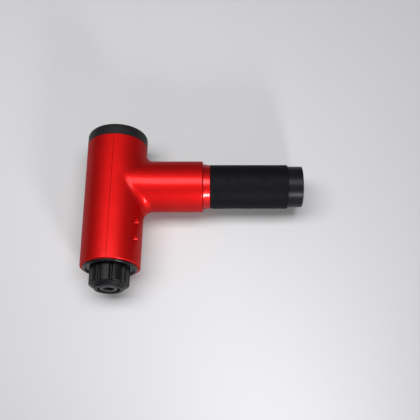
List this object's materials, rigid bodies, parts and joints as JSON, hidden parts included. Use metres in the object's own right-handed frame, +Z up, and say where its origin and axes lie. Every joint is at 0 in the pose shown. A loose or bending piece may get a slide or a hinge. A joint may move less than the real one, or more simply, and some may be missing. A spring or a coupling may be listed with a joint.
{
  "type": "massage gun",
  "caption": "T-shaped percussion massage gun: a red barrel with a fluted black nose and reciprocating socket, and a slim black battery handle with a red collar.",
  "frame": {"origin": "middle of the bounding box's bottom face; the gun lies on its side", "axes": "+X along the handle to its charging end, -Y along the barrel out of the nose, +Z up through the gun's side"},
  "size_m": [0.2348, 0.178, 0.0658],
  "materials": {
    "red_paint": "satin metallic red lacquer over moulded shell",
    "red_collar": "satin red anodised ring",
    "black_satin": "satin black moulding",
    "black_gloss": "polished black",
    "black_rubber": "soft black rubber",
    "grip_rubber": "matte soft-touch sleeve",
    "dark_plastic": "matte black nylon",
    "lamp": "clear light pipe",
    "coated_steel": "black-coated ground steel",
    "steel": "ground steel",
    "screw_steel": "black oxide screws",
    "brass": "turned brass",
    "alloy": "machined aluminium",
    "cast_weight": "machined iron",
    "magnet": "nickel-plated magnets",
    "lamination": "stacked steel laminations",
    "copper": "enamelled copper wire",
    "circuit": "green circuit board",
    "chips": "black moulded parts",
    "cell_wrap": "shrink-wrapped cells"
  },
  "bodies": {
    "housing": {"top_cover": "red_paint", "seam_tabs": "red_paint", "handle_shell": "red_paint", "housing_screws": "screw_steel", "rear_cap": "black_satin", "control_lens": "black_gloss", "control_board": "circuit", "front_ring": "black_gloss", "fluted_nose": "black_rubber", "nose_wiper": "black_rubber", "guide_bush": "brass", "guide_block": "alloy", "motor_bracket": "alloy", "motor_bearings": "steel", "bracket_screws": "screw_steel", "stator_core": "lamination", "stator_coils": "copper", "driver_board": "circuit", "driver_parts": "chips", "battery_socket": "dark_plastic"},
    "crank": {"crank_disc": "cast_weight", "crank_pin": "steel", "pin_clip": "steel", "motor_shaft": "steel", "rotor_can": "alloy", "magnets": "magnet"},
    "connecting_rod": {"connecting_rod": "alloy", "rod_bearing": "steel", "wrist_pin": "steel"},
    "piston": {"piston": "coated_steel", "socket_sleeve": "dark_plastic", "wrist_stubs": "steel"},
    "speed_button": {"speed_button": "black_rubber"},
    "battery_pack": {"battery_tube": "dark_plastic", "collar_ring": "red_collar", "grip_sleeve": "grip_rubber", "end_ring": "black_satin", "cells": "cell_wrap", "cell_holder_front": "dark_plastic", "cell_holder_rear": "dark_plastic", "pack_board": "circuit", "end_cap": "dark_plastic", "charging_jack": "dark_plastic", "charge_light": "lamp"},
    "power_switch": {"power_switch": "dark_plastic"}
  },
  "joints": [
    {"name": "crank_spin", "type": "hinge", "parent": "housing", "child": "crank", "pos_m": [-0.0845, 0.0275, 0.0329], "axis": [1, 0, 0], "continuous": true},
    {"name": "rod_swing", "type": "hinge", "parent": "crank", "child": "connecting_rod", "pos_m": [-0.0845, 0.0225, 0.0329], "axis": [1, 0, 0], "continuous": true},
    {"name": "piston_stroke", "type": "slide", "parent": "housing", "child": "piston", "axis": [0, 1, 0], "range_m": [0, 0.01]},
    {"name": "button_press", "type": "slide", "parent": "housing", "child": "speed_button", "axis": [0, -1, 0], "range_m": [0, 0.0008], "stiffness_N_per_m": 600},
    {"name": "battery_release", "type": "slide", "parent": "housing", "child": "battery_pack", "axis": [1, 0, 0], "range_m": [0, 0.014]},
    {"name": "switch_rock", "type": "hinge", "parent": "battery_pack", "child": "power_switch", "pos_m": [0.1107, 0.036, 0.0329], "axis": [0, 1, 0], "range_deg": [0, 14]}
  ],
  "couplings": [
    {"joint": "rod_swing", "follows": "crank_spin", "ratio": -1}
  ]
}
